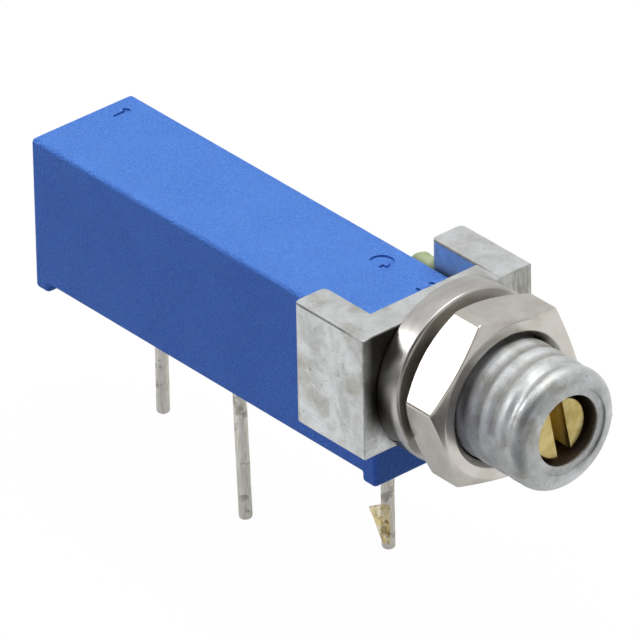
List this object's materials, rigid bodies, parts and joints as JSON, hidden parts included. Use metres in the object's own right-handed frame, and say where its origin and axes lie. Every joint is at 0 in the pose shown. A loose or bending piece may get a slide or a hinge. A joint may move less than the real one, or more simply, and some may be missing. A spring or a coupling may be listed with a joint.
{
  "type": "trimmer potentiometer",
  "caption": "Rectangular multiturn trimmer potentiometer with a slotted shaft in a threaded panel bushing, U-shaped bracket, split lock washer, hex nut and solder pins.",
  "frame": {"origin": "on the adjusting screw's axis, in the plane of the bracket's front face, where the bushing leaves it", "axes": "+X runs out along the bushing and away from the housing, +Z is away from the solder pins, +Y is towards the side with the two outer pins"},
  "size_m": [0.0266, 0.008, 0.0141],
  "materials": {
    "blue_moulding": "fine matt grain",
    "seal_resin": "matt cast resin",
    "ceramic": "matt white",
    "resistive_ink": "matt fired ink",
    "conductor_ink": "dull fired silver",
    "solder": "bright solder",
    "tinned_pin": "dull tin plating with stains",
    "tan_resin": "clouded tan resin",
    "screw_brass": "turned",
    "shaft_brass": "turned, slightly dulled",
    "seal_rubber": "smooth",
    "spring_metal": "bright strip",
    "carriage_plastic": "natural moulding",
    "zinc_casting": "dull mottled zinc die casting",
    "adhesive": "cured yellow-green adhesive",
    "plated_steel": "bright nickel plating",
    "plated_nut": "warm nickel plating over brass"
  },
  "bodies": {
    "base": {"housing": "blue_moulding", "base_seal": "seal_resin", "element_plate": "ceramic", "resistive_track": "resistive_ink", "collector_track": "conductor_ink", "end_conductors": "conductor_ink", "pin_joints": "solder", "pin_1": "tinned_pin", "pin_2": "tinned_pin", "pin_3": "tinned_pin", "resin_sliver": "tan_resin", "screw_seal": "seal_rubber", "screw_clip": "spring_metal", "mounting_bracket": "zinc_casting", "adhesive_bead": "adhesive"},
    "screw": {"lead_screw": "screw_brass", "extension_shaft": "shaft_brass"},
    "slider": {"carriage": "carriage_plastic", "wiper": "spring_metal"},
    "washer": {"lock_washer": "plated_steel"},
    "nut": {"panel_nut": "plated_nut"}
  },
  "joints": [
    {"name": "screw_turn", "type": "hinge", "parent": "base", "child": "screw", "pos_m": [0, 0, 0], "axis": [1, 0, 0], "range_deg": [-2700, 2700]},
    {"name": "slider_travel", "type": "slide", "parent": "base", "child": "slider", "axis": [1, 0, 0], "range_m": [-0.00571, 0.00571]},
    {"name": "washer_travel", "type": "slide", "parent": "base", "child": "washer", "axis": [1, 0, 0], "range_m": [0, 0.00495]},
    {"name": "nut_turn", "type": "hinge", "parent": "washer", "child": "nut", "pos_m": [0, 0, 0], "axis": [1, 0, 0], "range_deg": [0, 2246]}
  ],
  "couplings": [
    {"joint": "screw_turn", "follows": "slider_travel", "rad_per_m": -8245.6},
    {"joint": "nut_turn", "follows": "washer_travel", "rad_per_m": 7915.8}
  ]
}
